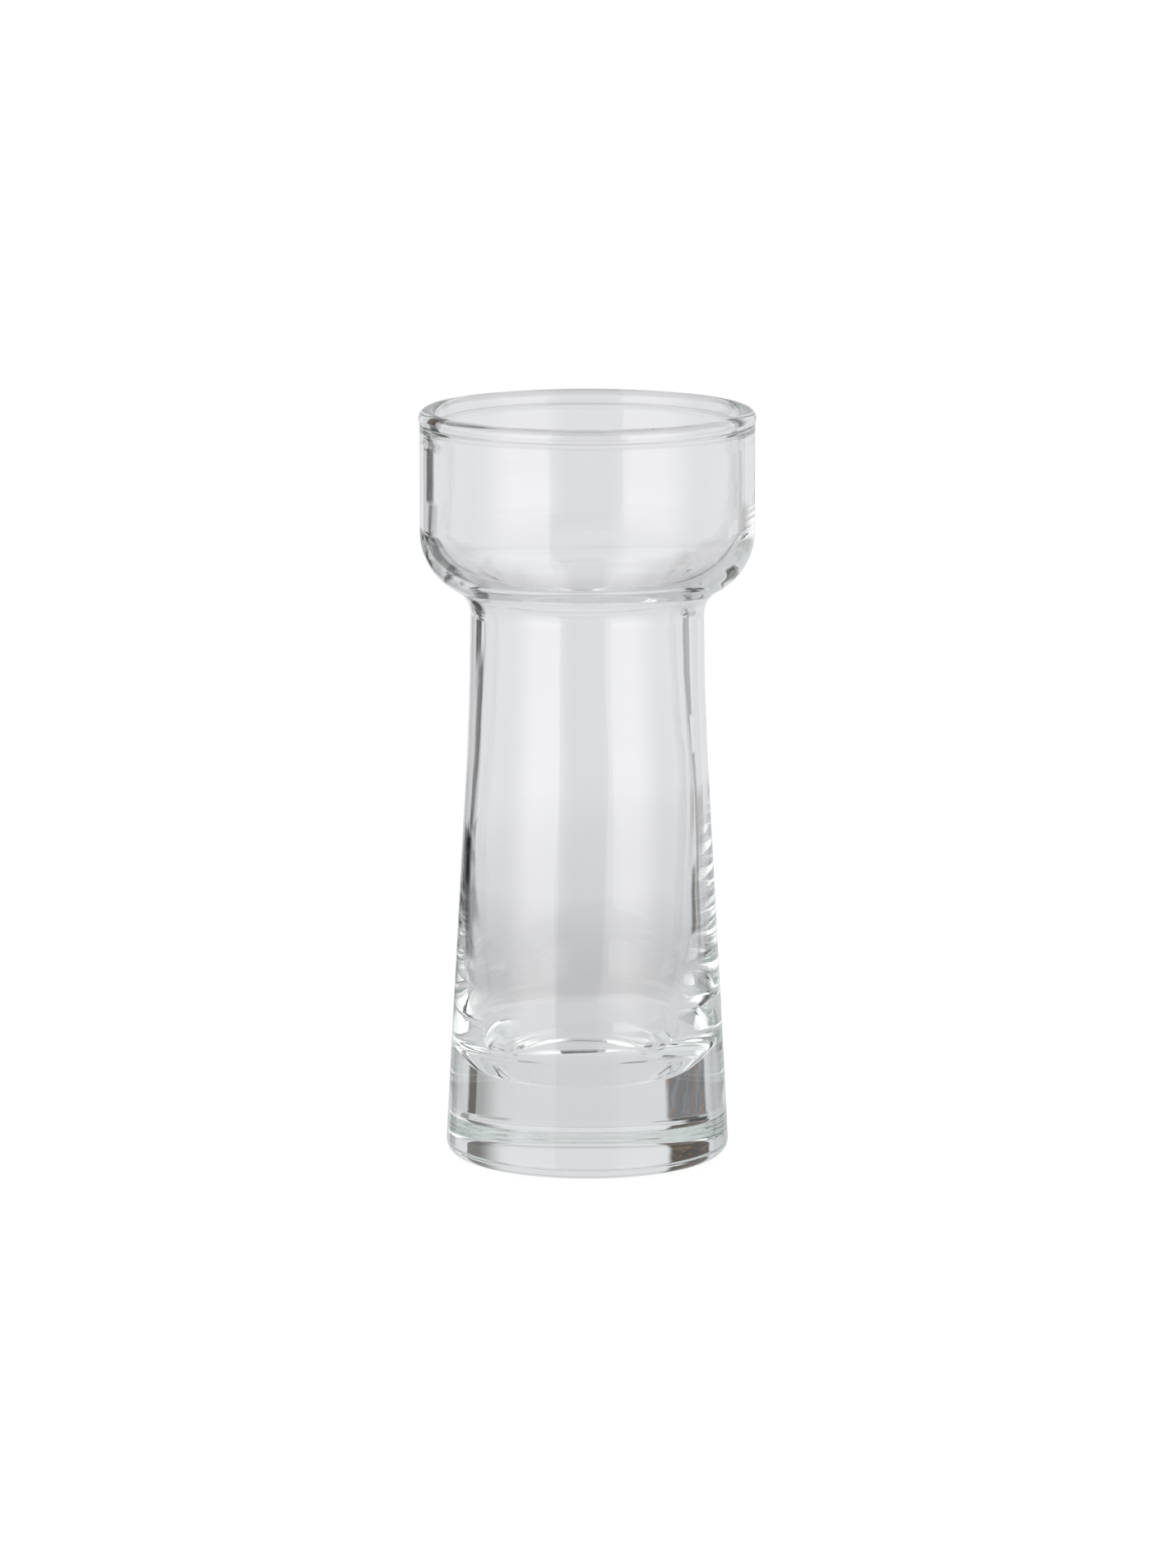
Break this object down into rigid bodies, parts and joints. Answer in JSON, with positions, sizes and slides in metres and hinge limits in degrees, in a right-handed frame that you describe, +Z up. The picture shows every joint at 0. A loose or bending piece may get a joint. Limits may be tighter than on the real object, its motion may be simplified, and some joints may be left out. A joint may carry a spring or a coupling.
{
  "type": "hyacinth forcing vase",
  "caption": "Clear glass vase for forcing a hyacinth bulb: a wide cup holds the bulb over a narrow throat, above a flared water chamber on a heavy foot.",
  "frame": {"origin": "centre of the standing ring, on the surface that the vase stands on", "axes": "+Z up along the vase's own axis; X and Y are alike, because the vase is round"},
  "size_m": [0.07, 0.07, 0.1572],
  "materials": {
    "clear_glass": "clear soda-lime glass, fire polished, faintly green where it is thick"
  },
  "bodies": {
    "root": {"glass_vase": "clear_glass"}
  },
  "joints": []
}
